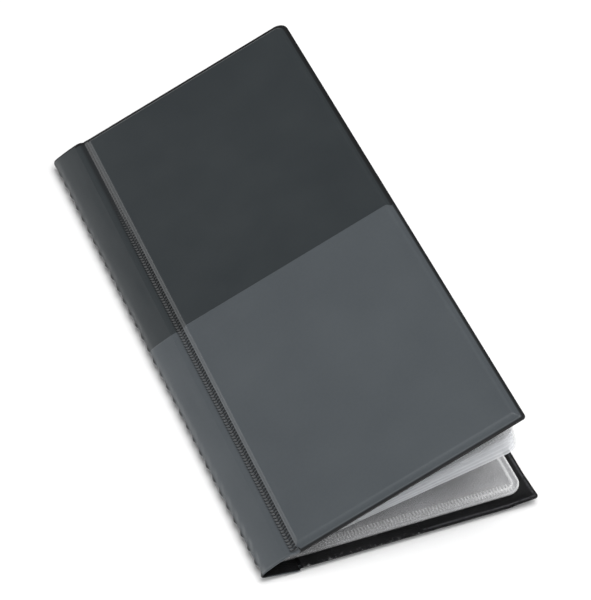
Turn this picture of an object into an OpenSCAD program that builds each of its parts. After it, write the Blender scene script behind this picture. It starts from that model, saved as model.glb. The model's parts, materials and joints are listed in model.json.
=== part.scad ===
// Tall pocket album for business cards, lying on its back cover and a little open.
// X runs from the spine to the fore edge, Y from the bottom edge to the top edge, Z up.
// The outlines below are drawn from the outermost point of the spine (x = 0) and the
// bottom edge (y = 0); place() then moves everything to the middle of the footprint.

/* [Covers] */
// Height of the album along the spine
album_h = 253; // [180:1:320]
// Width of a cover panel, from its hinge groove to the fore edge
panel_w = 100.2; // [80:0.1:140]
// Thickness of the stiff board in each cover
board_t = 2; // [1.4:0.1:3]
// Thickness of the cover foil, and of the lining foil
foil_t = 0.3; // [0.2:0.05:0.4]
// Width of the welded flange round each board
flange_w = 1.8; // [1.2:0.1:3]
// Corner radius at the top of the fore edge
top_corner_r = 5; // [3:0.5:8]
// Corner radius at the bottom of the fore edge
bottom_corner_r = 1.5; // [1:0.1:6]
// Height at which the lower foil ends on top of the upper foil
lap_y = 128; // [100:1:150]
// Width of the lap, where one foil lies on the other
lap_w = 4; // [2:0.5:8]

/* [Spine] */
// Distance between the leaf fold and the groove of the front cover
front_strip_w = 12.15; // [11:0.05:13]
// Width of half a hinge groove, from its axis to the board
groove_half_w = 2; // [1.6:0.1:2.6]
// Depth of the groove below the outer face of the cover
groove_depth = 0.9; // [0.6:0.1:1.1]

/* [Rest position] */
// Angle of the front cover above the table
cover_angle = 23.7; // [15:0.1:40]
// Angle of the front spine strip above the table
strip_angle = 29.5; // [25:0.1:45]

/* [Leaves] */
// Width of a leaf from its fold to the fore edge
leaf_w = 107; // [90:0.1:107]
// Height of a leaf
leaf_h = 243; // [170:1:245]
// Thickness of one clear film
film_t = 0.08; // [0.06:0.01:0.08]
// Room between the two films of a pocket
pocket_gap = 0.04; // [0.02:0.01:0.04]
// Radius of the outer corners of a leaf
leaf_corner_r = 6.5; // [3:0.5:10]
// Pockets one above the other in each leaf
pocket_rows = 4; // [2:1:5]
// Width of a card pocket
pocket_w = 91; // [80:1:91]

/* [Hidden] */
$fn = 64;

// Colours
upper_foil = [0.20, 0.22, 0.23];
lower_foil = [0.33, 0.35, 0.37];
lining_foil = [0.07, 0.07, 0.08];
pocket_foil = [0.13, 0.13, 0.14];
grey_board = [0.56, 0.53, 0.47];
weld_clear = [0.74, 0.76, 0.79];
film_clear = [0.82, 0.86, 0.90, 0.45];

// Cover build-up, measured inwards from the outer face
cover_t = board_t + 2 * foil_t;
flange_z = cover_t - 2 * foil_t;
groove_mid = groove_depth + foil_t;
hinge_gap = 0.2;
inner_pocket_t = 0.15;
inner_pocket_w = 49;
inner_pocket_inset = 0.6;
notch = 2.4;

// Spine: the back strip rises from the back groove to the nose, where the leaves are bound
back_groove_x = 14.8;
fold_x = 4;
back_strip_angle = 8.07;
fold_z = 5.6;
strip_offset = 0.05;
nose_back_x = 0.9;
nose_low_z = 3.35;
nose_high_z = 3.75;
nose_top_z = 4.75;
nose_wall = 0.35;
back_strip_slope = tan(back_strip_angle);
album_w = back_groove_x + panel_w;

// The front groove follows from the fold, the strip and the strip's angle
front_groove_x = fold_x + front_strip_w * cos(strip_angle)
    - (strip_offset + foil_t) * sin(strip_angle);
front_groove_z = fold_z + front_strip_w * sin(strip_angle)
    + (strip_offset + foil_t) * cos(strip_angle);

// Leaves: angle of each leaf above the table, from the lowest leaf to the topmost one
leaf_angles = [0.36, 0.38, 0.4, 0.42, 0.44, 0.46, 0.48, 13.3, 14.2, 15.3, 16.6, 17.9];
leaf_t = 2 * film_t + pocket_gap;
leaf_root = 0.35;
leaf_bend_start = 1.5;
leaf_bend_end = 10.5;
root_low = -2.42;
root_pitch = 0.21;
panel_low = -2.69;
panel_pitch = 0.25;
leaf_y = (album_h - leaf_h) / 2;
pocket_edge = 1.6;
pocket_border = 4.5;
pocket_seam = 1.5;
pocket_pitch = (leaf_h - 2 * pocket_border + pocket_seam) / pocket_rows;
reach = 20;

function strip_mid_z(x) = groove_mid + (back_groove_x - x) * back_strip_slope;

// ---- Shared shapes -------------------------------------------------------

// From the drawing corner to the middle of the footprint
module place() {
    translate([-album_w / 2, -album_h / 2, 0]) children();
}

// A flat profile in X and Z, drawn out along Y over the height of the album
module along_spine(y0, y1, profile) {
    translate([0, y1, 0])
        rotate([90, 0, 0])
            linear_extrude(height = y1 - y0)
                polygon(profile);
}

// Plan outline with a round corner at both ends of the fore edge
module plan(x0, x1, y0, y1, r_bottom, r_top) {
    square_x = x1 - max(r_bottom, r_top);
    translate([x0, y0])
        square([square_x - x0, y1 - y0]);
    translate([x0, y0 + r_bottom])
        square([x1 - x0, y1 - y0 - r_bottom - r_top]);
    translate([x0, y0])
        square([x1 - r_bottom - x0, r_bottom]);
    translate([x0, y1 - r_top])
        square([x1 - r_top - x0, r_top]);
    translate([x1 - r_bottom, y0 + r_bottom])
        circle(r = r_bottom);
    translate([x1 - r_top, y1 - r_top])
        circle(r = r_top);
}

// Cover outline pulled in by a margin on the three free sides
module cover_plan(x0, margin) {
    plan(
        x0, panel_w - margin, margin, album_h - margin,
        max(bottom_corner_r - margin, 0.3), max(top_corner_r - margin, 0.3)
    );
}

// ---- Cover panels: groove axis at x = 0, outer face down at z = -groove_mid ------

module cover_plate(x0, margin, z0, z1) {
    translate([0, 0, z0 - groove_mid])
        linear_extrude(height = z1 - z0)
            cover_plan(x0, margin);
}

// Thin part of a foil in the groove, from the hinge line to x1
module groove_tongue(z0, x1) {
    translate([hinge_gap, 0, z0 - groove_mid])
        cube([x1 - hinge_gap, album_h, foil_t]);
}

module board() {
    difference() {
        cover_plate(groove_half_w + foil_t, flange_w + foil_t, foil_t, flange_z + foil_t);
        lap_recess();
    }
}

// The upper foil passes under the lower one here
module lap_recess() {
    translate([groove_half_w, lap_y - lap_w, foil_t - groove_mid])
        cube([panel_w, lap_w + 2 * foil_t, foil_t]);
}

// Cover foil pressed to a shallow tray over the board, with its welded flange
module skin_tray() {
    difference() {
        union() {
            cover_plate(groove_half_w, flange_w, 0, cover_t - foil_t);
            cover_plate(groove_half_w, 0, flange_z, cover_t - foil_t);
            groove_tongue(groove_depth, groove_half_w + foil_t);
        }
        cover_plate(groove_half_w + foil_t, flange_w + foil_t, foil_t, cover_t);
    }
}

module below_lap() {
    translate([-reach, -1, -reach])
        cube([panel_w + 2 * reach, lap_y + 1, 2 * reach]);
}

module above_lap() {
    translate([-reach, lap_y, -reach])
        cube([panel_w + 2 * reach, album_h, 2 * reach]);
}

module skin_lower() {
    intersection() {
        skin_tray();
        below_lap();
    }
}

module skin_upper() {
    intersection() {
        skin_tray();
        above_lap();
    }
    intersection() {
        cover_plate(groove_half_w + foil_t, flange_w + foil_t, foil_t, 2 * foil_t);
        lap_recess();
    }
}

// Inner foil: flat over the board and the flange, then down into the groove
module lining() {
    cover_plate(groove_half_w - foil_t, 0, cover_t - foil_t, cover_t);
    groove_tongue(groove_mid, groove_half_w);
    translate([groove_half_w - foil_t, 0, 0])
        cube([foil_t, album_h, cover_t - groove_mid]);
}

// Half-width pocket of thin foil welded inside each cover, open towards the spine
module inner_pocket() {
    difference() {
        cover_plate(
            panel_w - inner_pocket_w, inner_pocket_inset, cover_t, cover_t + inner_pocket_t
        );
        for (y = [0, album_h])
            translate([panel_w - inner_pocket_w, y, 0])
                rotate([0, 0, 45])
                    cube([notch, notch, 4 * cover_t], center = true);
    }
}

module on_back() {
    place() translate([back_groove_x, 0, groove_mid]) children();
}

module on_front() {
    place()
        translate([front_groove_x, 0, front_groove_z])
            rotate([0, -cover_angle, 0])
                mirror([0, 0, 1])
                    children();
}

// ---- Spine strips --------------------------------------------------------

module back_strip_skin() {
    along_spine(0, album_h, [
        [back_groove_x - hinge_gap, groove_mid - foil_t],
        [back_groove_x - hinge_gap, groove_mid + hinge_gap * back_strip_slope],
        [nose_back_x, strip_mid_z(nose_back_x)],
        [nose_back_x, nose_high_z - 0.1],
        [fold_x, nose_top_z - nose_wall],
        [fold_x, nose_top_z],
        [0, nose_high_z],
        [0, nose_low_z],
        [nose_back_x, strip_mid_z(nose_back_x) - foil_t]
    ]);
}

module back_strip_lining() {
    along_spine(0, album_h, [
        [back_groove_x - hinge_gap, groove_mid + hinge_gap * back_strip_slope],
        [nose_back_x, strip_mid_z(nose_back_x)],
        [nose_back_x, strip_mid_z(nose_back_x) + foil_t],
        [back_groove_x - hinge_gap, groove_mid + hinge_gap * back_strip_slope + foil_t]
    ]);
}

// Welded edges of all the leaves, held between the strips
module binding() {
    along_spine(leaf_y, album_h - leaf_y, [
        [nose_back_x, strip_mid_z(nose_back_x) + foil_t],
        [fold_x, strip_mid_z(fold_x) + foil_t],
        [fold_x, nose_top_z - nose_wall],
        [nose_back_x, nose_high_z - 0.1]
    ]);
}

module front_strip_layer(z0) {
    translate([fold_x, 0, fold_z])
        rotate([0, -strip_angle, 0])
            translate([hinge_gap, 0, z0])
                cube([front_strip_w - 2 * hinge_gap, album_h, foil_t]);
}

module lower_half() {
    translate([-reach, -1, -reach])
        cube([album_w + 2 * reach, lap_y + 1, 4 * reach]);
}

module upper_half() {
    translate([-reach, lap_y, -reach])
        cube([album_w + 2 * reach, album_h, 4 * reach]);
}

// ---- Leaves: fold at the origin, leaf lying along X ------------------------

function root_z(i) = root_low + i * root_pitch;
function panel_z(i) = panel_low + i * panel_pitch;

// A layer of leaf i between two heights measured from the middle of the leaf
module leaf_layer(i, z0, z1) {
    intersection() {
        along_spine(leaf_y, leaf_y + leaf_h, [
            [leaf_root, root_z(i) + z0],
            [leaf_bend_start, root_z(i) + z0],
            [leaf_bend_end, panel_z(i) + z0],
            [leaf_w, panel_z(i) + z0],
            [leaf_w, panel_z(i) + z1],
            [leaf_bend_end, panel_z(i) + z1],
            [leaf_bend_start, root_z(i) + z1],
            [leaf_root, root_z(i) + z1]
        ]);
        translate([0, 0, -reach])
            linear_extrude(height = 2 * reach)
                plan(0, leaf_w, leaf_y, leaf_y + leaf_h, leaf_corner_r, leaf_corner_r);
    }
}

// The back film carries the weld lines, which leave the card pockets between them
module back_film(i) {
    difference() {
        leaf_layer(i, -leaf_t / 2, leaf_t / 2 - film_t);
        for (k = [0 : pocket_rows - 1])
            translate([
                leaf_w - pocket_edge - pocket_w,
                leaf_y + pocket_border + k * pocket_pitch,
                panel_z(i) - pocket_gap / 2
            ])
                cube([pocket_w, pocket_pitch - pocket_seam, leaf_t]);
    }
}

module front_film(i) {
    leaf_layer(i, leaf_t / 2 - film_t, leaf_t / 2);
}

module on_leaf(i) {
    place()
        translate([fold_x, 0, fold_z])
            rotate([0, -leaf_angles[i], 0])
                children();
}

// ---- Sub-parts -----------------------------------------------------------

module back_board() {
    color(grey_board) on_back() board();
}

module back_skin_upper() {
    color(upper_foil) on_back() skin_upper();
}

module back_skin_lower() {
    color(lower_foil) on_back() skin_lower();
}

module back_lining() {
    color(lining_foil) on_back() lining();
}

module back_pocket() {
    color(pocket_foil) on_back() inner_pocket();
}

module spine_back_skin_upper() {
    color(upper_foil) place() intersection() {
        back_strip_skin();
        upper_half();
    }
}

module spine_back_skin_lower() {
    color(lower_foil) place() intersection() {
        back_strip_skin();
        lower_half();
    }
}

module spine_back_lining() {
    color(lining_foil) place() back_strip_lining();
}

module leaf_binding() {
    color(weld_clear) place() binding();
}

module spine_front_skin_upper() {
    color(upper_foil) place() intersection() {
        front_strip_layer(strip_offset + foil_t);
        upper_half();
    }
}

module spine_front_skin_lower() {
    color(lower_foil) place() intersection() {
        front_strip_layer(strip_offset + foil_t);
        lower_half();
    }
}

module spine_front_lining() {
    color(lining_foil) place() front_strip_layer(strip_offset);
}

module front_board() {
    color(grey_board) on_front() board();
}

module front_skin_upper() {
    color(upper_foil) on_front() skin_upper();
}

module front_skin_lower() {
    color(lower_foil) on_front() skin_lower();
}

module front_lining() {
    color(lining_foil) on_front() lining();
}

module front_pocket() {
    color(pocket_foil) on_front() inner_pocket();
}

module leaf_front_film(i) {
    color(film_clear) on_leaf(i) front_film(i);
}

module leaf_back_film(i) {
    color(film_clear) on_leaf(i) back_film(i);
}

back_board();
back_skin_upper();
back_skin_lower();
back_lining();
back_pocket();
spine_back_skin_upper();
spine_back_skin_lower();
spine_back_lining();
leaf_binding();
spine_front_skin_upper();
spine_front_skin_lower();
spine_front_lining();
front_board();
front_skin_upper();
front_skin_lower();
front_lining();
front_pocket();
leaf_front_film(0);  // leaf_01_front_film
leaf_back_film(0);  // leaf_01_back_film
leaf_front_film(1);  // leaf_02_front_film
leaf_back_film(1);  // leaf_02_back_film
leaf_front_film(2);  // leaf_03_front_film
leaf_back_film(2);  // leaf_03_back_film
leaf_front_film(3);  // leaf_04_front_film
leaf_back_film(3);  // leaf_04_back_film
leaf_front_film(4);  // leaf_05_front_film
leaf_back_film(4);  // leaf_05_back_film
leaf_front_film(5);  // leaf_06_front_film
leaf_back_film(5);  // leaf_06_back_film
leaf_front_film(6);  // leaf_07_front_film
leaf_back_film(6);  // leaf_07_back_film
leaf_front_film(7);  // leaf_08_front_film
leaf_back_film(7);  // leaf_08_back_film
leaf_front_film(8);  // leaf_09_front_film
leaf_back_film(8);  // leaf_09_back_film
leaf_front_film(9);  // leaf_10_front_film
leaf_back_film(9);  // leaf_10_back_film
leaf_front_film(10);  // leaf_11_front_film
leaf_back_film(10);  // leaf_11_back_film
leaf_front_film(11);  // leaf_12_front_film
leaf_back_film(11);  // leaf_12_back_film
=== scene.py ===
"""Looks of a tall pocket album for business cards, lying on its back cover, a little open.

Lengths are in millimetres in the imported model's frame, and become metres where a mesh is made.
X runs from the spine to the fore edge, Y along the spine to the top edge, Z up from the table.
On a cover, s runs from the hinge axis to the fore edge, y from the bottom edge, n outwards.
On a leaf, r runs from the fold to the fore edge, y from the leaf's bottom edge.
"""

import json
import math

import bpy
import numpy as np
from mathutils import Matrix, Vector


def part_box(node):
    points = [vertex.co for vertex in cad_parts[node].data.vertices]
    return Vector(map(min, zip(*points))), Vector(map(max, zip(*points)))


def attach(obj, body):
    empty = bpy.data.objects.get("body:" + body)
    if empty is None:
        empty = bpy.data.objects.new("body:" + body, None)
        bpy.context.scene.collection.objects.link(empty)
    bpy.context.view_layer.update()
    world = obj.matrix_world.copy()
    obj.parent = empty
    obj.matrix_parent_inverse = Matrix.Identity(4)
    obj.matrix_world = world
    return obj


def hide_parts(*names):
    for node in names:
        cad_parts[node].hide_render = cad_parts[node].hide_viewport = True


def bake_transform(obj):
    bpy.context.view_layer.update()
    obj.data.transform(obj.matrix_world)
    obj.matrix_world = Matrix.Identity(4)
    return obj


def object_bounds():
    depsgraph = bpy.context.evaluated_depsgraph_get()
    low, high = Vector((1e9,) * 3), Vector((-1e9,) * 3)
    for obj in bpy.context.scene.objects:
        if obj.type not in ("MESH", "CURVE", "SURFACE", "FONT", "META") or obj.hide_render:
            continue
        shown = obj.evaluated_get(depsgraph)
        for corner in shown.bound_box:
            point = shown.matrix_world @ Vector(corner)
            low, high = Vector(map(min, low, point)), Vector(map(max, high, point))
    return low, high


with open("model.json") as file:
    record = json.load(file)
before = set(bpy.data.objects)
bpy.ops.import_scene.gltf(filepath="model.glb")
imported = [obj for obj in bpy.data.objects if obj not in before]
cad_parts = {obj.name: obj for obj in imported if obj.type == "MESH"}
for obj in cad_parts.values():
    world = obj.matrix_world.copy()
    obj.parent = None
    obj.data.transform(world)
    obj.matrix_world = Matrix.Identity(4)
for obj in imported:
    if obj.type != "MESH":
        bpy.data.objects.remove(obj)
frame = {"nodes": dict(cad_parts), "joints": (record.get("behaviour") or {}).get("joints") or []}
cad_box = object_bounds()

MM = 0.001
ABOVE_TABLE = 0.01  # the least height of any point, and the least distance inside the nose
JOINTS = {j["name"]: j for j in frame["joints"]}


def pivot(joint):
    """Axis of a hinge in the section plane, as (x, z) in millimetres."""
    x, _, z = JOINTS[joint]["pos_m"]
    return np.array([x, z]) / MM


# ---- Main places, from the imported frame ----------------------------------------

LOW = np.array(cad_box[0]) / MM
HIGH = np.array(cad_box[1]) / MM
HEIGHT = HIGH[1] - LOW[1]
BOTTOM = LOW[1]
NOSE_X = LOW[0]
FOLD = pivot("spine_fold")
BACK_AXIS = pivot("back_hinge")
FRONT_AXIS = pivot("front_hinge")

# ---- Covers ---------------------------------------------------------------------

PANEL = HIGH[0] - BACK_AXIS[0]  # hinge axis to fore edge
COVER_ANGLE = 23.7  # slope of the front cover
STRIP_ANGLE = 29.5  # slope of the spine's front strip
BACK_STRIP_ANGLE = 8.07  # slope of the spine's back strip
FOIL = 0.3
OUTER = BACK_AXIS[1]  # outer face of a cover
INNER = -1.4  # inner face of the lining
LINING_TOP = INNER + FOIL
FLANGE_W = 1.8  # flat welded border outside the board
FLANGE_N = LINING_TOP + FOIL
PILLOW = 2.3  # width over which the foil rounds over the board's edge
GROOVE_N = 0.3  # outer face of the foil in a hinge groove
RIDGE_FOOT = 1.0  # where the ridge beside the groove starts
RIDGE_W = 1.9
RIDGE_BEAD = 0.07
RIDGE_BEAD_S = 3.4
R_TOP = 5.0  # round corners of the fore edge
R_BOTTOM = 1.5
LAP_Y = 128.0  # upper edge of the grey foil
LAP_UNDER = 4.0  # how far the dark foil goes on below it
LAP_STEP = 0.22
LAP_FADE = 14.0
LAP_THINNING = 0.1
BOARD_INSET = 2.1
POCKET_S = PANEL - 49.0  # mouth of the inner pocket
POCKET_MOUTH_W = 8.0
POCKET_INSET = 0.6
NOTCH = 2.4
CORNER_LIFT = 1.3
CORNER_LIFT_W = 8.5
LEAF_CLEARANCE = 0.5  # from the leaves' round corner to the lifted part of the back cover
CONTACT = 0.01  # gap between faces that lie on each other

# ---- Spine ----------------------------------------------------------------------

RIB_PITCH = 1.6
RIB_DEPTH = 0.42
RIB_AREA = (0.3, 3.3, 0.4)  # from, to and softness, along the groove's profile
RIB_FADE_FROM, RIB_FADE_TO = 162.0, 222.0
TOOTH_PITCH = 7.65
TOOTH_SLANT = 0.8
LINING_GAP = 0.34  # from the foil's outer face to the lining's
GROOVE_LIP = 1.9  # how far the lining shows past the foil at the top end
CREASE_LIP = 1.0
PROFILE_STEPS = 8  # points in each gap between two knots

# ---- Leaves ---------------------------------------------------------------------

LEAF_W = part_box("leaf_01_front_film")[1][0] / MM - FOLD[0]
LEAF_H = 243.0
LEAF_Y = (HEIGHT - LEAF_H) / 2
LEAF_R = 6.5
LEAF_ROOT = 0.35
BEND_START = 1.5  # a leaf bends between these two distances from the fold
BEND_END = 10.5
ROOT_LOW, ROOT_PITCH = -2.42, 0.21  # height of the lowest leaf, and of each next one, in the spine
PANEL_LOW, PANEL_PITCH = -2.69, 0.25  # and over the cover
FILM_GAP = 0.06  # from the middle of a leaf to a film
LEAF_ANGLES = (0.36, 0.38, 0.4, 0.42, 0.44, 0.46, 0.48, 13.3, 14.2, 15.3, 16.6, 17.9)
SAG_PER_LEAF = 0.06
LOWER_LEAVES = 7
CRISP_LEAVES = {LOWER_LEAVES - 1: 1.0, len(LEAF_ANGLES) - 1: 0.25}  # top leaves, whose ribs show clearly
POCKET_ROWS = 4
POCKET_BORDER = 4.5
SEAM = 1.5
POCKET_PITCH = (LEAF_H - 2 * POCKET_BORDER + SEAM) / POCKET_ROWS
FIRST_SEAM = POCKET_BORDER - SEAM / 2
POCKET_ROOT = LEAF_W - 92.6  # weld line at the pockets' inner end
RIBBED_BORDER = 5.4
COARSE_RIBS = 1.35
FINE_RIBS = 1.25


# ---- Small helpers ----------------------------------------------------------------


def ease(t):
    """Smooth step from 0 to 1."""
    t = np.clip(t, 0, 1)
    return t * t * (3 - 2 * t)


def bump(x, centre, width):
    """Smooth hump, 1 high."""
    return np.exp(-(((x - centre) / width) ** 2))


def band(x, low, high, soft=0.2):
    """1 between low and high, 0 outside, with soft edges."""
    return ease((x - low + soft) / (2 * soft)) * ease((high + soft - x) / (2 * soft))


def end_distance(y, length=HEIGHT):
    """Distance to the nearer of the bottom and top ends."""
    return np.minimum(y, length - y)


def spread(*stops):
    """Grid lines: pairs of (end, step) after a first value, always ending on the given ends."""
    lines = [stops[0]]
    for end, step in stops[1:]:
        n = max(1, round((end - lines[-1]) / step))
        lines += list(np.linspace(lines[-1], end, n + 1)[1:])
    return np.array(lines)


def wobble(a, b, seed=0.0):
    """A gentle irregular wave between -1 and 1, the same on every run."""
    return (
        np.sin(a * 1.00 + b * 0.37 + seed)
        + np.sin(a * 0.43 - b * 0.81 + 1.7 * seed + 1.3)
        + np.sin(a * 1.71 + b * 1.13 + 2.3 * seed + 4.1)
    ) / 3


def build(name, points, faces, mask=None, sharp=35):
    """A smooth mesh, with the mask as a point attribute that the materials read."""
    mesh = bpy.data.meshes.new(name)
    mesh.from_pydata((points * MM).tolist(), [], faces)
    if mask is not None:
        mesh.attributes.new("mask", "FLOAT", "POINT").data.foreach_set(
            "value", mask.astype(np.float32)
        )
    mesh.validate()
    mesh.shade_smooth()
    mesh.set_sharp_from_angle(angle=math.radians(sharp))
    obj = bpy.data.objects.new(name, mesh)
    bpy.context.scene.collection.objects.link(obj)
    return obj


def quads(nu, nv, first=0, flip=False):
    """Faces of an nu by nv grid of points, numbered from first."""
    i, j = np.meshgrid(np.arange(nu - 1), np.arange(nv - 1))
    a = (first + j * nu + i).ravel()
    q = np.stack([a, a + 1, a + 1 + nu, a + nu], 1)
    return (q[:, ::-1] if flip else q).tolist()


def flat(xyz):
    """Grids of x, y and z as one list of points."""
    return np.stack([c.ravel() for c in np.broadcast_arrays(*xyz)], 1)


def shell(name, us, vs, outer, inner, mask=None, sharp=35):
    """A closed sheet between two surfaces over the same grid."""
    u, v = np.meshgrid(us, vs)
    nu, nv = len(us), len(vs)
    n = nu * nv
    points = np.vstack([flat(outer(u, v)), flat(inner(u, v))])
    faces = quads(nu, nv) + quads(nu, nv, n, flip=True)
    rim = (
        [i for i in range(nu)]
        + [j * nu + nu - 1 for j in range(1, nv)]
        + [(nv - 1) * nu + i for i in range(nu - 2, -1, -1)]
        + [j * nu for j in range(nv - 2, 0, -1)]
    )
    for a, b in zip(rim, rim[1:] + rim[:1]):
        faces.append((b, a, a + n, b + n))
    m = None
    if mask is not None:
        m = np.broadcast_to(mask(u, v), u.shape).ravel()
        m = np.concatenate([m, m])
    return build(name, points, faces, m, sharp)


# ---- Places on the covers -----------------------------------------------------------


def back_lift(s, y):
    """The lower fore corner of the back cover curls up a little, outside the leaves' round corner."""
    ds = np.maximum(s - (FOLD[0] + LEAF_W - LEAF_R - BACK_AXIS[0]), 0)
    dy = np.maximum(LEAF_Y + LEAF_R - y, 0)
    beyond = np.where((ds > 0) & (dy > 0), np.hypot(ds, dy) - LEAF_R - LEAF_CLEARANCE, 0)
    return CORNER_LIFT * ease(beyond / CORNER_LIFT_W)


def on_cover(side, s, y, n):
    """Point at s, y and n of a cover, in the model's frame."""
    if side == "back":
        x = BACK_AXIS[0] + s
        z = np.maximum(BACK_AXIS[1] - n + back_lift(s, y), ABOVE_TABLE)
    else:
        a = math.radians(COVER_ANGLE)
        x = FRONT_AXIS[0] + s * math.cos(a) - n * math.sin(a)
        z = FRONT_AXIS[1] + s * math.sin(a) + n * math.cos(a)
    return x, BOTTOM + y, z


def onto_corners(s, y, edge, corners):
    """Pulls grid points that lie outside round corners back onto them.

    Corners are given as radius, y of the end, and 1 at the bottom or -1 at the top.
    """
    s, y = np.array(s, float), np.array(y, float)
    for r, y0, sign in corners:
        cs, cy = edge - r, y0 + sign * r
        ds, dy = s - cs, (y - cy) * sign
        away = np.hypot(ds, dy)
        far = (ds > 0) & (dy < 0) & (away > r)
        k = np.where(far, r / np.maximum(away, 1e-9), 1.0)
        s, y = np.where(far, cs + ds * k, s), np.where(far, cy + sign * dy * k, y)
    return s, y


def rounded(s, y, inset=0.0):
    """Grid points of a cover, or of a layer inset in it, kept inside its round fore corners."""
    least = 0.3
    corners = (
        (max(R_BOTTOM - inset, least), inset, 1),
        (max(R_TOP - inset, least), HEIGHT - inset, -1),
    )
    return onto_corners(s, y, PANEL - inset, corners)


def inside_distance(fore, bottom, top, r_bottom, r_top):
    """Distance to a free outline, from the distances to its three sides and its corner radii."""
    d = np.minimum(np.minimum(fore, bottom), top)
    for r, end in ((r_bottom, bottom), (r_top, top)):
        a, b = r - fore, r - end
        d = np.where((a > 0) & (b > 0), r - np.hypot(a, b), d)
    return np.maximum(d, 0)


def edge_distance(s, y):
    """Distance to the three free edges of a cover, round the corners."""
    return inside_distance(PANEL - s, y, HEIGHT - y, R_BOTTOM, R_TOP)


def foil_height(s, y):
    """Outer face of a cover's foil: flange, rounded board, ridge beside the groove."""
    d = edge_distance(s, y)
    up_edge = np.clip((d - FLANGE_W) / PILLOW, 0, 1)
    over_edge = FLANGE_N + (OUTER - FLANGE_N) * (1 - (1 - up_edge) ** 2)
    pressed_rim, rim_w = 0.12, 0.5
    over_edge = over_edge - pressed_rim * ease((rim_w - d) / rim_w)
    up_ridge = np.clip((s - RIDGE_FOOT) / RIDGE_W, 0, 1)
    ridge = GROOVE_N + (OUTER - GROOVE_N) * np.sin(up_ridge * math.pi / 2) ** 1.5
    ridge = ridge + RIDGE_BEAD * bump(s, RIDGE_BEAD_S, 0.9)
    uneven_board = 0.035 * wobble(s / 17, y / 23, 0.6) * ease((d - 4) / 12)
    return np.minimum(over_edge, ridge) + uneven_board


def end_droop(end):
    """How far the spine's foil comes down to the flange beside a cover, at a distance from an end."""
    depth, width = 0.75, 2.6
    return depth * ease((width - end) / width)


def lap_step(y):
    """How far the grey foil rises where it lies over the dark one, thinner at its very edge."""
    rise = LAP_STEP * ease((y - LAP_Y + LAP_FADE) / LAP_FADE)
    edge_w = 0.3
    return rise - LAP_THINNING * ease((y - LAP_Y + edge_w) / edge_w)


def flange_lining_and_shade(s, y, tone):
    """The flange is coloured black: partly the black lining fused to it, partly painted shade along the
    edge. The paler foil keeps its colour further out.
    """
    width = FLANGE_W + {"dark": 0.2, "grey": -0.3}[tone]
    return ease((width - edge_distance(s, y)) / 0.6)


FREE_EDGE = ((0.4, 0.2), (1.6, 0.6), (4.6, 0.3), (7, 0.8))  # grid lines inwards from a free edge


def spine_to_fore(first):
    """Grid lines across a cover, close together at the ridge and the fore edge."""
    fore = [PANEL - e for e, _ in FREE_EDGE][::-1]
    ridge = ((5.4, 0.22), (9, 0.9))
    return spread(first, *ridge, (fore[0], 6), (fore[1], 0.8), (fore[2], 0.3), (fore[3], 0.6), (PANEL, 0.2))


def up_from_bottom(top):
    """Grid lines from the bottom edge up to top."""
    return spread(0, *FREE_EDGE, (top, 5))


def down_to_top(low):
    """Grid lines from low up to the top edge."""
    return HEIGHT - up_from_bottom(HEIGHT - low)[::-1]


LAP_LINES = spread(LAP_Y - 8, (LAP_Y - 0.6, 1.2), (LAP_Y, 0.1))  # close together at the lap


def cover_foil(side, tone):
    """Foil over one half of a cover. The grey foil lies on top of the dark one at the lap."""
    if tone == "grey":
        ys = np.concatenate([up_from_bottom(LAP_LINES[0])[:-1], LAP_LINES])
    else:
        ys = down_to_top(LAP_Y - LAP_UNDER)

    def outer(u, v, drop=0.0):
        s, y = rounded(u, v)
        n = foil_height(s, y) - drop
        if tone == "grey":
            n = n + lap_step(y)
        return on_cover(side, s, y, n)

    def under(u, v):
        return outer(u, v, FOIL - CONTACT)

    piece = shell(
        f"{side}_cover_{tone}_foil", spine_to_fore(RIDGE_FOOT), ys, outer, under,
        lambda u, v: flange_lining_and_shade(*rounded(u, v), tone),
    )
    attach(piece, f"{side}_cover")
    half = {"grey": "lower", "dark": "upper"}[tone]
    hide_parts(f"{side}_skin_{half}")
    return piece


def cover_board(side):
    """Stiff board inside a cover, its edges rounded under the foil."""
    edge = PANEL - BOARD_INSET
    top_edge = HEIGHT - BOARD_INSET
    us = spread(RIDGE_FOOT + 1.6, (6, 0.5), (edge - 5, 8), (edge, 0.4))
    vs = spread(BOARD_INSET, (BOARD_INSET + 5, 0.5), (top_edge - 5, 10), (top_edge, 0.5))

    def top(u, v):
        s, y = rounded(u, v, BOARD_INSET)
        return on_cover(side, s, y, np.maximum(foil_height(s, y) - FOIL - 0.03, LINING_TOP + 0.05))

    def base(u, v):
        s, y = rounded(u, v, BOARD_INSET)
        return on_cover(side, s, y, LINING_TOP + CONTACT + 0 * s)

    piece = shell(f"{side}_cover_board", us, vs, top, base)
    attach(piece, f"{side}_cover")
    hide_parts(f"{side}_board")
    return piece


def lining_height(s, y):
    """Face of the lining that lies on the board, rising to the foil at the hinge groove."""
    rise = GROOVE_N - LINING_GAP - LINING_TOP - end_droop(end_distance(y))
    return LINING_TOP + rise * ease((2.4 - s) / 1.2)


def ragged(s, y):
    """Uneven weld along the bottom and top edges of a lining, on the spine side of the pocket."""
    away = ease((POCKET_S + 4 - s) / 6)
    near = ease((2.2 - end_distance(y)) / 2.0)
    grain = (wobble(s * 2.3, 0 * s, 2.0) + wobble(s * 6.1, 0 * s, 5.0)) / 2
    return away * near * grain


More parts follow.
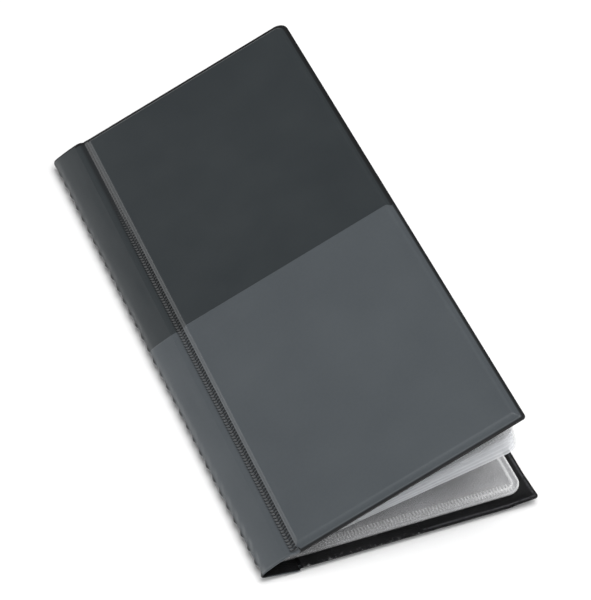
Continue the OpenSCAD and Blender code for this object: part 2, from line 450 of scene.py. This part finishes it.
def cover_lining(side):
    """Black lining inside a cover, with its uneven welded ends."""

    def face(u, v, drop):
        s, y = rounded(u, v)
        rough = ragged(s, y)
        inwards = np.sign(HEIGHT / 2 - y)
        y = y + inwards * 0.22 * np.maximum(rough, 0)
        grain = 0.05 * wobble(s * 0.9, y * 0.12, 3.0) * ease((edge_distance(s, y) - 1) / 3)
        return on_cover(side, s, y, lining_height(s, y) - drop + grain - 0.12 * rough * (drop > 0))

    us = spread(RIDGE_FOOT, (3, 0.2), (PANEL - 7, 0.8), (PANEL - 1.6, 0.9), (PANEL, 0.27))
    low_lines = ((0.4, 0.2), (2.8, 0.4), (9, 1.5))
    high_lines = ((HEIGHT - 9, 5), (HEIGHT - 2.8, 1.5), (HEIGHT - 0.4, 0.4), (HEIGHT, 0.2))
    vs = spread(0, *low_lines, *high_lines)
    piece = shell(
        f"{side}_cover_lining", us, vs,
        lambda u, v: face(u, v, 0.0), lambda u, v: face(u, v, FOIL),
        lambda u, v: np.clip(np.abs(ragged(u, v)) * 1.3, 0, 1),
    )
    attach(piece, f"{side}_cover")
    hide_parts(f"{side}_lining")
    return piece


def inner_pocket(side):
    """Half-width pocket welded inside a cover: open towards the spine, with a welded bead round it, and a
    painted highlight in a band by the bead.
    """

    thickness = 0.12
    mouth = POCKET_S + POCKET_MOUTH_W  # the notches end here
    high = HEIGHT - POCKET_INSET

    def face(u, v, lift):
        end = np.minimum(v - POCKET_INSET, high - v)
        first = POCKET_S + np.maximum(0, NOTCH / math.sqrt(2) - end)
        s = np.where(u < mouth, first + (u - POCKET_S) * (mouth - first) / POCKET_MOUTH_W, u)
        s, y = rounded(s, v, POCKET_INSET)
        d = edge_distance(s, y) - POCKET_INSET
        bead = 0.12 * bump(d, 0.55, 0.28)
        slack = 0.05 * ease((d - 1.5) / 8) * (1 + 0.6 * wobble(s / 9, y / 21, 1.0))
        return on_cover(side, s, y, INNER - lift * (bead + slack + thickness) - CONTACT / 2)

    us = spread(POCKET_S, (mouth, 1), (PANEL - 5, 4), (PANEL - POCKET_INSET, 0.22))
    vs = spread(POCKET_INSET, (3.6, 0.2), (10, 1.2), (HEIGHT - 10, 6), (HEIGHT - 3.6, 1.2), (high, 0.2))
    piece = shell(
        f"{side}_cover_pocket", us, vs, lambda u, v: face(u, v, 0.0), lambda u, v: face(u, v, 1.0),
        # the mask marks a band by the bead, where the pocket material paints a faint highlight
        lambda u, v: bump(edge_distance(u, v), 1.2, 0.4),
    )
    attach(piece, f"{side}_cover")
    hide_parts(f"{side}_pocket")
    return piece


# ---- Spine: one profile from the front cover's ridge, over the strip and the crease, and back ----


def section(side, s, n):
    """Point at s and n of a cover, as (x, z)."""
    x, _, z = on_cover(side, np.float64(s), HEIGHT / 2, n)
    return float(x), float(z)


def strip_point(t, up):
    """Point at t from the fold towards the front groove, and up from the line between them."""
    a = math.radians(STRIP_ANGLE)
    return FOLD[0] + t * math.cos(a) - up * math.sin(a), FOLD[1] + t * math.sin(a) + up * math.cos(a)


def smooth_curve(knots, per_gap):
    """Catmull-Rom curve through the knots, with per_gap points in each gap."""
    before = 2 * np.array(knots[0]) - knots[1]
    after = 2 * np.array(knots[-1]) - knots[-2]
    k = np.array([before, *knots, after], float)
    out = []
    for a, b, c, d in zip(k, k[1:], k[2:], k[3:]):
        square = 2 * a - 5 * b + 4 * c - d
        cube = 3 * b - a - 3 * c + d
        for t in np.arange(per_gap) / per_gap:
            out.append(0.5 * (2 * b + (c - a) * t + square * t**2 + cube * t**3))
    out.append(k[-2])
    return np.array(out)


def under_strip(x):
    """Point of the back strip's lower face, which rises from the back groove to the nose."""
    rise = math.tan(math.radians(BACK_STRIP_ANGLE))
    return x, BACK_AXIS[1] - FOIL + (BACK_AXIS[0] - x) * rise


UNDER_RIDGE = RIDGE_FOOT + 0.3  # a spine piece ends here, under the ridge of a cover's foil
GROOVE_KNOTS = [
    section("front", UNDER_RIDGE, GROOVE_N), section("front", 0.3, GROOVE_N - 0.2),
    strip_point(11.6, 0.25), strip_point(10.4, 0.78), strip_point(9.2, 1.12), strip_point(7.6, 1.32),
]
CREASE_KNOTS = [
    GROOVE_KNOTS[-1],
    strip_point(5.6, 1.35), strip_point(3.6, 1.35), strip_point(1.7, 1.32), strip_point(0.05, 1.25),
    strip_point(-1.36, 1.15), strip_point(-2.41, 1.0), strip_point(-3.22, 0.81),
    (NOSE_X + 0.38, 3.9), (NOSE_X + 0.5, 3.3), (NOSE_X + 1.5, 2.85),
    under_strip(NOSE_X + 4), under_strip(NOSE_X + 8),
]
BACK_KNOTS = [
    CREASE_KNOTS[-1], under_strip(NOSE_X + 12),
    section("back", -0.3, GROOVE_N), section("back", 0.5, GROOVE_N), section("back", UNDER_RIDGE, GROOVE_N),
]
NOSE_KNOT = 8  # number of the crease knot at the nose


def profile_frame(curve):
    """Outward unit normals and running length along a profile."""
    step = np.gradient(curve, axis=0)
    step /= np.linalg.norm(step, axis=1)[:, None]
    run = np.concatenate([[0], np.cumsum(np.linalg.norm(np.diff(curve, axis=0), axis=1))])
    return np.stack([step[:, 1], -step[:, 0]], 1), run


def along(curve, index, offset):
    """Points of a profile at whole indices, moved by offset along its outward normal."""
    normal, _ = profile_frame(curve)
    i = index.astype(int)
    return curve[i, 0] + normal[i, 0] * offset, curve[i, 1] + normal[i, 1] * offset


def end_bead(y):
    """The foil is a little thicker along its cut bottom end."""
    return 0.12 * bump(y, 0.5, 0.4)


def rib_strength(r, y):
    """Pressed ribs across the hinge groove: full depth low down, fading out in the top third."""
    ends = ease(end_distance(y) - 1)
    faint = 0.06
    fade = ease((RIB_FADE_TO - y) / (RIB_FADE_TO - RIB_FADE_FROM))
    return band(r, *RIB_AREA) * ends * (faint + (1 - faint) * fade)


def rib_wave(y):
    """0 on a rib, 1 in the hollow between two."""
    return 0.5 - 0.5 * np.cos(2 * math.pi * y / RIB_PITCH)


def groove_relief(curve):
    """Ribs pressed into the groove, which comes down to the flange at its ends."""
    _, run = profile_frame(curve)

    def relief(i, y):
        r = run[i.astype(int)]
        end = end_distance(y)
        pressed = 0.3 * band(r, *RIB_AREA) * ease(end - 1)
        droop = end_droop(end) * ease((3.5 - r) / 3.5)
        return -RIB_DEPTH * (rib_strength(r, y) * rib_wave(y) ** 0.8 + pressed) - droop + end_bead(y)

    return relief


def groove_painted_shade(curve):
    """Painted shade: the groove's foil is coloured darker, towards black, and darkest in the ribs' hollows.
    """
    _, run = profile_frame(curve)

    def mask(i, y):
        r = run[i.astype(int)]
        ends = ease((end_distance(y) - 0.6) / 0.8)
        fused = 0.62 * band(r, 0.1, 3.6, 0.7)
        return ends * (fused + rib_strength(r, y) * (0.62 * rib_wave(y) - 0.27))

    return mask


def crimp(u, y):
    """Small slanted teeth where the foil is crimped along the crease: 1 on a tooth."""
    phase = (y - TOOTH_SLANT * np.maximum(u, 0)) / TOOTH_PITCH + 0.05 * wobble(y / 17, 0 * y, 3.3)
    return 0.5 + 0.5 * np.cos(2 * math.pi * phase)


def up_from_nose(curve):
    """Distance up the strip from the nose, as a function of the profile's index."""
    _, run = profile_frame(curve)
    nose = run[NOSE_KNOT * PROFILE_STEPS]
    return lambda i: nose - run[i.astype(int)]


def crease_relief(curve):
    """Teeth along the crease, growing towards the bottom, with short slanted wrinkles above them."""
    up_strip = up_from_nose(curve)

    def relief(i, y):
        u = up_strip(i)
        grow = 0.7 + 0.3 * ease((200 - y) / 200)
        uneven = 1 + 0.2 * wobble(y / 11, 0 * y, 0.4)
        gap = 1 - crimp(u, y) ** 1.2
        wrinkle = (1 - gap) * 0.16 * ease((140 - y) / 120) * bump(u, 1.7, 0.9)
        soft = 0.07 * wobble(y / 13, u / 3, 1.9) * ease(u / 3) * ease((11 - u) / 3)
        ends = ease(np.minimum(y / 3, (HEIGHT - y) / 14))
        teeth = gap * bump(u, -0.5, 1.3) + wrinkle
        return -ends * grow * uneven * teeth + soft + end_bead(y)

    return relief


def crease_mask(curve):
    """The crimped teeth along the crease are coloured near black."""
    up_strip = up_from_nose(curve)

    def mask(i, y):
        u = up_strip(i)
        tooth = crimp(u, y) ** 1.5 * (0.75 + 0.25 * wobble(y / 9, u, 2.2))
        return 0.9 * band(u, -3, 1.0, 0.4) * np.clip(tooth * 1.8, 0, 1) * ease((HEIGHT - y - 3) / 6)

    return mask


def no_relief(curve):
    """Plain foil: no relief, and no mask."""
    return lambda i, y: 0 * y


def spine_part(name, knots, relief_of, mask_of, step, lip, nodes):
    """Foil in two tones and lining along one stretch of the spine profile.

    Grid lines are step apart up the album. The lining shows past the foil by lip at the top end.
    """
    curve = smooth_curve(knots, PROFILE_STEPS)
    relief = relief_of(curve)
    dark_at = mask_of(curve)
    idx = np.arange(len(curve)).astype(float)

    def face(depth, tone="dark"):
        def place(i, y):
            up = relief(i, y) - depth
            if tone == "grey":
                up = up + lap_step(y)
            x, z = along(curve, i, up)
            return np.maximum(x, NOSE_X + ABOVE_TABLE), BOTTOM + y, np.maximum(z, ABOVE_TABLE)

        return place

    end_step = step * 0.6
    below_lap = spread(0.05, (3, end_step), (LAP_Y - 0.6, step))
    grid_lines = {
        "grey": np.concatenate([below_lap, [LAP_Y - 0.3, LAP_Y]]),
        "dark": spread(LAP_Y - LAP_UNDER, (HEIGHT - 3, step), (HEIGHT - lip, end_step)),
    }
    made = []
    for tone, ys in grid_lines.items():
        piece = shell(f"{name}_{tone}_foil", idx, ys, face(0, tone), face(FOIL, tone), dark_at, sharp=60)
        made.append(piece)
    ys = spread(0.3, (HEIGHT, step * 2))
    lining = shell(
        f"{name}_lining", idx, ys, face(LINING_GAP), face(LINING_GAP + FOIL), no_relief(curve), sharp=60,
    )
    made.append(lining)
    for piece, group in zip(made, nodes):
        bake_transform(piece)
        if group:
            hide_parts(*group)
    return made


# ---- Leaves ---------------------------------------------------------------------------


def leaf_edge_distance(r, y):
    """Distance to the outline of a leaf, round its two outer corners."""
    return inside_distance(LEAF_W - r, y, LEAF_H - y, LEAF_R, LEAF_R)


def leaf_rounded(r, y):
    """Grid points of a leaf, kept inside its two round outer corners."""
    return onto_corners(r, y, LEAF_W, ((LEAF_R, 0, 1), (LEAF_R, LEAF_H, -1)))


def weld(r, y, crisp=0.0):
    """How strongly a leaf is welded at a point: plain panel 0, fused line 1. Ribs show where crisp is 1."""
    d = leaf_edge_distance(r, y)
    end = end_distance(y, LEAF_H)
    fore = LEAF_W - r
    sideways = ease((fore - end + 1.0) / 3.0)  # 1 along the bottom and top, 0 along the fore edge
    lip = band(d, -1, 0.55, 0.15)
    line = bump(d, 2.7, 0.42)
    smooth = lip * (1 - 0.75 * sideways) + (1 - sideways) * line
    coarse = (0.5 + 0.5 * np.cos(2 * math.pi * r / COARSE_RIBS)) ** 1.3
    fine = (0.5 + 0.5 * np.cos(2 * math.pi * r / FINE_RIBS)) ** 1.2
    near = ease((34 - fore) / 28)  # brighter towards the fore corner
    crisp = crisp * ease((r - POCKET_ROOT) / 14)
    rows = band(d, 2.75, 4.7) * (0.02 + 2.1 * crisp * coarse)
    rows = rows + band(d, 1.0, 2.3) * (0.04 + 1.4 * crisp * fine)
    rows = rows + (0.1 + 0.8 * crisp) * bump(d, 2.5, 0.25) + near * (0.7 * band(d, 2.4, 3.3) + 0.1)
    k = (y - FIRST_SEAM) / POCKET_PITCH
    off = np.abs(k - np.round(k)) * POCKET_PITCH
    inside = (np.round(k) > 0.5) & (np.round(k) < POCKET_ROWS - 0.5) & (r > POCKET_ROOT - 2)
    seam = np.where(inside, band(off, -1, SEAM / 2) * (0.3 + 0.5 * coarse), 0.0)
    root = band(r, 0, BEND_END, 1.0) * 0.15 + 0.4 * bump(r, POCKET_ROOT - 1.0, 0.5)
    return np.clip(smooth + sideways * rows + seam + root * band(d, 0.5, 400), 0, 3)


def leaf_surface(number, side):
    """Surface of one film of a leaf, as a function of r from the fold and y from the leaf's bottom edge."""
    angle = LEAF_ANGLES[number]
    if number < LOWER_LEAVES:
        angle -= SAG_PER_LEAF * number
    root, panel = ROOT_LOW + number * ROOT_PITCH, PANEL_LOW + number * PANEL_PITCH
    gap = FILM_GAP if side == "front" else -FILM_GAP

    def surface(u, v):
        r, y = leaf_rounded(u, v)
        w = np.clip(weld(r, y), 0, 1)
        up = root + (panel - root) * ease((r - BEND_START) / (BEND_END - BEND_START))
        wave = 0.05 * wobble(r / 15, y / 26, number * 1.7) * ease((r - 14) / 30)
        up = up + gap * (1 - 0.75 * w) + wave
        turn = np.radians(angle) * ease((r - LEAF_ROOT) / (BEND_END - LEAF_ROOT))
        x = FOLD[0] + r * np.cos(turn) - up * np.sin(turn)
        z = FOLD[1] + r * np.sin(turn) + up * np.cos(turn)
        return x, BOTTOM + LEAF_Y + y, z

    return surface


def leaf_film(number, side):
    """One film of a leaf: a panel and two closely ribbed borders, all one mesh."""
    high = LEAF_H - RIBBED_BORDER
    rs = spread(LEAF_ROOT, (BEND_END, 0.8), (POCKET_ROOT + 1, 0.5), (LEAF_W - 8, 5), (LEAF_W, 0.25))
    lines = []
    for k in range(1, POCKET_ROWS):
        seam = FIRST_SEAM + k * POCKET_PITCH
        lines += [(seam - 1.2, 6), (seam + 1.2, 0.3)]
    ys = spread(RIBBED_BORDER, *lines, (high, 6))
    fine = spread(LEAF_ROOT, (BEND_END, 0.8), (LEAF_W, 0.21 if side == "front" else 0.4))
    grids = (
        (rs, ys),
        (fine, spread(0, (RIBBED_BORDER, 0.27))),
        (fine, spread(high, (LEAF_H, 0.27))),
    )
    surface = leaf_surface(number, side)
    crisp = CRISP_LEAVES.get(number, 0.0) if side == "front" else 0.0
    points, faces, masks = [], [], []
    for us, vs in grids:
        u, v = np.meshgrid(us, vs)
        faces += quads(len(us), len(vs), sum(len(p) for p in points))
        points.append(flat(surface(u, v)))
        masks.append(weld(*leaf_rounded(u, v), crisp).ravel())
    name = f"leaf_{number + 1:02d}"
    piece = build(f"{name}_{side}_sheet", np.vstack(points), faces, np.concatenate(masks), sharp=180)
    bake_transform(piece)
    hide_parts(f"{name}_{side}_film")
    return piece


# ---- Materials --------------------------------------------------------------------------


class Graph:
    """A Principled material and short calls for the nodes that feed it."""

    def __init__(self, name, **values):
        self.material = bpy.data.materials.new(name)
        self.material.use_nodes = True
        self.tree = self.material.node_tree
        self.shader = self.tree.nodes["Principled BSDF"]
        for key, value in values.items():
            self.shader.inputs[key.replace("_", " ")].default_value = value
        coord = self.tree.nodes.new("ShaderNodeTexCoord")
        self.place = coord.outputs["Object"]

    def feed(self, sockets, values):
        """Links or sets each socket."""
        for socket, value in zip(sockets, values):
            if isinstance(value, bpy.types.NodeSocket):
                self.tree.links.new(value, socket)
            else:
                socket.default_value = value

    def node(self, kind, **inputs):
        n = self.tree.nodes.new("ShaderNode" + kind)
        self.feed([n.inputs[key] for key in inputs], inputs.values())
        return n

    def stretched(self, x, y, z):
        return self.node("Mapping", Vector=self.place, Scale=(x, y, z)).outputs["Vector"]

    def noise(self, scale, detail=3.0, rough=0.5, where=None):
        n = self.node("TexNoise", Vector=where or self.place, Scale=scale, Detail=detail, Roughness=rough)
        return n.outputs["Fac"]

    def cells(self, scale, where=None):
        n = self.node("TexVoronoi", Vector=where or self.place, Scale=scale)
        n.feature = "DISTANCE_TO_EDGE"
        return n.outputs["Distance"]

    def ramp(self, fac, low, high, a=0.0, b=1.0):
        """Maps low to high onto a to b."""
        n = self.node("MapRange", Value=fac)
        for key, value in zip(("From Min", "From Max", "To Min", "To Max"), (low, high, a, b)):
            n.inputs[key].default_value = value
        return n.outputs["Result"]

    def mix(self, fac, a, b):
        n = self.tree.nodes.new("ShaderNodeMix")
        n.data_type = "RGBA"
        self.feed((n.inputs[0], n.inputs[6], n.inputs[7]), (fac, a, b))  # factor, A and B as colours
        return n.outputs[2]

    def maths(self, operation, a, b):
        n = self.tree.nodes.new("ShaderNodeMath")
        n.operation = operation
        self.feed(n.inputs, (a, b))
        return n.outputs[0]

    def mask(self):
        n = self.tree.nodes.new("ShaderNodeAttribute")
        n.attribute_name = "mask"
        return n.outputs["Fac"]

    def into(self, socket, value):
        self.tree.links.new(value, self.shader.inputs[socket])

    def relief(self, height, strength, distance, under=None):
        """Bump, on top of another bump if one is given."""
        n = self.node("Bump", Height=height, Strength=strength, Distance=distance)
        if under:
            self.tree.links.new(under, n.inputs["Normal"])
        return n.outputs["Normal"]


def foil_material(name, light, dark):
    """Soft vinyl foil: faint clouding, fine grain, satin sheen, and near black where the mask says: on the
    flange (fused lining and painted shade), in the hinge groove (painted shade) and on the crease's teeth.
    """
    g = Graph(name, Specular_IOR_Level=0.34, IOR=1.5)
    cloud = g.ramp(g.noise(22, 4, 0.6), 0.3, 0.7)
    speck = g.ramp(g.noise(900, 2), 0.35, 0.7)
    colour = g.mix(cloud, dark, light)
    colour = g.mix(g.maths("MULTIPLY", speck, 0.12), colour, [c * 1.35 for c in light[:3]] + [1])
    # the mask paints near black: fused lining and painted shade on the flange, painted shade in the hinge
    # groove, dark teeth on the crease
    rim = g.mask()
    colour = g.mix(g.maths("MULTIPLY", rim, 0.96), colour, (0.004, 0.004, 0.0045, 1))
    g.into("Base Color", colour)
    g.into("Roughness", g.ramp(g.noise(45, 3), 0.3, 0.7, 0.36, 0.44))
    grain = g.relief(g.noise(2600, 3, 0.6), 0.12, 0.00006)
    g.into("Normal", g.relief(g.noise(160, 2), 0.10, 0.0004, grain))
    return g.material


def lining_material(name, pocket=False):
    """Black vinyl with a pressed leather grain, and pale flecks where the weld tore it. On the pocket the
    same mask paints a faint highlight in a band by its bead.
    """
    g = Graph(name, Specular_IOR_Level=0.22, IOR=1.5)
    streak = g.noise(60, 5, 0.65, g.stretched(0.35, 1.6, 1.0))
    fine = g.noise(420, 4, 0.6, g.stretched(0.5, 1.5, 1.0))
    base = g.mix(g.ramp(streak, 0.45, 0.75), (0.003, 0.003, 0.0033, 1), (0.011, 0.011, 0.012, 1))
    base = g.mix(g.ramp(fine, 0.62, 0.78, 0, 0.5), base, (0.026, 0.026, 0.028, 1))
    # on the pocket these flecks paint a faint highlight by its bead; on the lining they are pale flecks
    # where the weld tore it
    fleck_range = (0.2, 0.5) if pocket else (0.55, 0.68)
    torn_flecks_and_sheen = g.maths("MULTIPLY", g.mask(), g.ramp(g.noise(700, 2), *fleck_range))
    pale_flecks_and_sheen = (0.055, 0.055, 0.06, 1) if pocket else (0.36, 0.36, 0.37, 1)
    g.into("Base Color", g.mix(torn_flecks_and_sheen, base, pale_flecks_and_sheen))
    g.into("Roughness", g.ramp(streak, 0.35, 0.7, 0.30 if pocket else 0.36, 0.62))
    cells = g.ramp(g.cells(900, g.stretched(0.8, 1.25, 1.0)), 0, 0.25)
    rough = g.relief(cells, 0.20 if pocket else 0.45, 0.00012)
    g.into("Normal", g.relief(streak, 0.5, 0.0006, rough))
    return g.material


def board_material():
    """Grey binder's board: pressed fibres and darker flecks."""
    g = Graph("grey_board", Roughness=0.92, Specular_IOR_Level=0.2)
    fibre = g.noise(500, 5, 0.7, g.stretched(1, 0.3, 1))
    fleck = g.ramp(g.noise(1300, 2), 0.62, 0.7)
    colour = g.mix(fibre, (0.22, 0.20, 0.165, 1), (0.34, 0.31, 0.26, 1))
    g.into("Base Color", g.mix(fleck, colour, (0.10, 0.09, 0.075, 1)))
    g.into("Normal", g.relief(fibre, 0.4, 0.0002))
    return g.material


def film_material(name, haze, fused, tint):
    """Clear vinyl film: a faint haze on the panels, milky where it was pressed and fused."""
    g = Graph(name, Specular_IOR_Level=0.5, IOR=1.53)
    w = g.mask()
    mottle = g.noise(35, 4, 0.6)
    smear = g.noise(240, 3, 0.5, g.stretched(0.5, 1.4, 1))
    clear = g.mix(g.ramp(mottle, 0.3, 0.7), tint, (0.93, 0.94, 0.96, 1))
    g.into("Base Color", g.mix(w, clear, (0.98, 0.98, 0.98, 1)))
    cloudy = g.ramp(mottle, 0.3, 0.75, haze * 0.85, haze * 1.15)
    panel = g.maths("ADD", cloudy, g.ramp(smear, 0.45, 0.8, 0.0, haze * 0.2))
    milky = g.maths("ADD", panel, g.maths("MULTIPLY", w, fused))
    g.into("Alpha", g.maths("MINIMUM", milky, 0.96))
    g.into("Roughness", g.ramp(w, 0, 1, 0.16, 0.38))
    g.into("Normal", g.relief(g.noise(90, 3), 0.15, 0.0006))
    return g.material


def weld_material():
    """Leaf roots fused together in the spine, coloured dark grey as painted shade for the shadowed inside
    of the spine.
    """
    g = Graph("welded_leaf_roots_painted_shade", Specular_IOR_Level=0.5, Roughness=0.35)
    layers = g.noise(800, 2, 0.5, g.stretched(0.2, 0.05, 4))
    g.into("Base Color", g.mix(layers, (0.14, 0.15, 0.16, 1), (0.34, 0.35, 0.37, 1)))
    g.into("Normal", g.relief(layers, 0.5, 0.0002))
    return g.material


def floor_material():
    """White studio floor."""
    g = Graph("white_floor", Roughness=0.7, Specular_IOR_Level=0.1)
    g.into("Base Color", g.mix(g.noise(3, 2), (0.93, 0.93, 0.93, 1), (0.95, 0.95, 0.95, 1)))
    return g.material


MATERIALS = {
    "dark_foil": foil_material(
        "anthracite_foil", (0.0245, 0.0300, 0.0330, 1), (0.0218, 0.0268, 0.0300, 1)
    ),
    "grey_foil": foil_material("grey_foil", (0.0672, 0.0770, 0.0850, 1), (0.0615, 0.0702, 0.0780, 1)),
    "black_lining": lining_material("black_leather_grain_lining"),
    "pocket_foil": lining_material("black_pocket_foil", pocket=True),
    "board": board_material(),
    "clear_film": film_material("clear_leaf_film", 0.052, 0.19, (0.90, 0.90, 0.91, 1)),
    # the raised leaves use a hazier, whiter copy of the same film: partly for the longer slant path through
    # them, partly painted light that they catch from behind and at their edges
    "raised_film_painted_light": film_material("clear_leaf_film_raised_painted_light", 0.34, 0.42, (0.94, 0.96, 0.99, 1)),
    "welded_film": weld_material(),
}


def paint(obj, material):
    """Gives an object one of the materials."""
    obj.data.materials.clear()
    obj.data.materials.append(MATERIALS[material])


# ---- The album ----------------------------------------------------------------------------

for side in ("back", "front"):
    for tone in ("grey", "dark"):
        paint(cover_foil(side, tone), f"{tone}_foil")
    paint(cover_board(side), "board")
    paint(cover_lining(side), "black_lining")
    paint(inner_pocket(side), "pocket_foil")

groove = spine_part(
    "front_groove", GROOVE_KNOTS, groove_relief, groove_painted_shade, RIB_PITCH / 8, GROOVE_LIP,
    (["spine_front_skin_lower"], ["spine_front_skin_upper"], ["spine_front_lining"]),
)
crease = spine_part(
    "spine_crease", CREASE_KNOTS, crease_relief, crease_mask, TOOTH_PITCH / 17, CREASE_LIP,
    (["spine_back_skin_lower"], ["spine_back_skin_upper"], ["spine_back_lining"]),
)
back_groove = spine_part(
    "back_groove", BACK_KNOTS, no_relief, no_relief, 2.0, CREASE_LIP,
    (None, None, None),
)
for grey, dark, lining in (groove, crease, back_groove):
    paint(grey, "grey_foil")
    paint(dark, "dark_foil")
    paint(lining, "black_lining")

for number in range(len(LEAF_ANGLES)):
    finish = "clear_film" if number < LOWER_LEAVES else "raised_film_painted_light"
    for side in ("front", "back"):
        paint(leaf_film(number, side), finish)

paint(frame["nodes"]["leaf_binding"], "welded_film")

# ---- Floor, light and camera -----------------------------------------------------------------

scene = bpy.context.scene
bpy.ops.mesh.primitive_plane_add(size=8, location=(0, 0, -0.0001))
floor = bpy.context.object
floor.name = "floor"
floor.data.materials.append(floor_material())


def softbox(name, place, target, size, power):
    """Rectangular studio light; places and sizes are in metres."""
    light = bpy.data.lights.new(name, "AREA")
    light.shape = "RECTANGLE"
    light.size, light.size_y = size
    light.energy = power
    obj = bpy.data.objects.new(name, light)
    scene.collection.objects.link(obj)
    obj.location = place
    obj.rotation_mode = "QUATERNION"
    obj.rotation_quaternion = (Vector(target) - Vector(place)).to_track_quat("-Z", "Y")


softbox("overhead_softbox", (0.25, -0.35, 1.9), (0, 0, 0), (2.0, 2.0), 44)
softbox("ridge_softbox", (-1.25, 1.15, 0.38), (0, 0, 0.02), (1.5, 0.6), 11)
softbox("front_softbox", (0.9, -1.5, 0.55), (0, 0, 0), (1.4, 0.6), 11)

world = bpy.data.worlds.new("studio")
world.use_nodes = True
world.node_tree.nodes["Background"].inputs["Color"].default_value = (1, 1, 1, 1)
world.node_tree.nodes["Background"].inputs["Strength"].default_value = 0.22
scene.world = world
scene.view_settings.view_transform = "Standard"
scene.cycles.transparent_max_bounces = 32

LENS = 185.68
AZIMUTH, ELEVATION, ROLL = -21.68, 43.83, 0.59
DISTANCE = 1.28025
TARGET = Vector((0.01089, 0.01313, 0))

azimuth, elevation, roll = (math.radians(v) for v in (AZIMUTH, ELEVATION, ROLL))
back = Vector((
    math.sin(azimuth) * math.cos(elevation),
    -math.cos(azimuth) * math.cos(elevation),
    math.sin(elevation),
))
right = Vector((math.cos(azimuth), math.sin(azimuth), 0))
up = back.cross(right)
right, up = (
    right * math.cos(roll) + up * math.sin(roll),
    up * math.cos(roll) - right * math.sin(roll),
)
camera = bpy.data.objects.new("camera", bpy.data.cameras.new("camera"))
scene.collection.objects.link(camera)
camera.data.sensor_width = 36
camera.data.lens = LENS
camera.data.clip_start, camera.data.clip_end = 0.05, 20
turn = Matrix((right, up, back)).transposed().to_4x4()
camera.matrix_world = Matrix.Translation(TARGET + back * DISTANCE) @ turn
scene.camera = camera

bpy.context.view_layer.update()
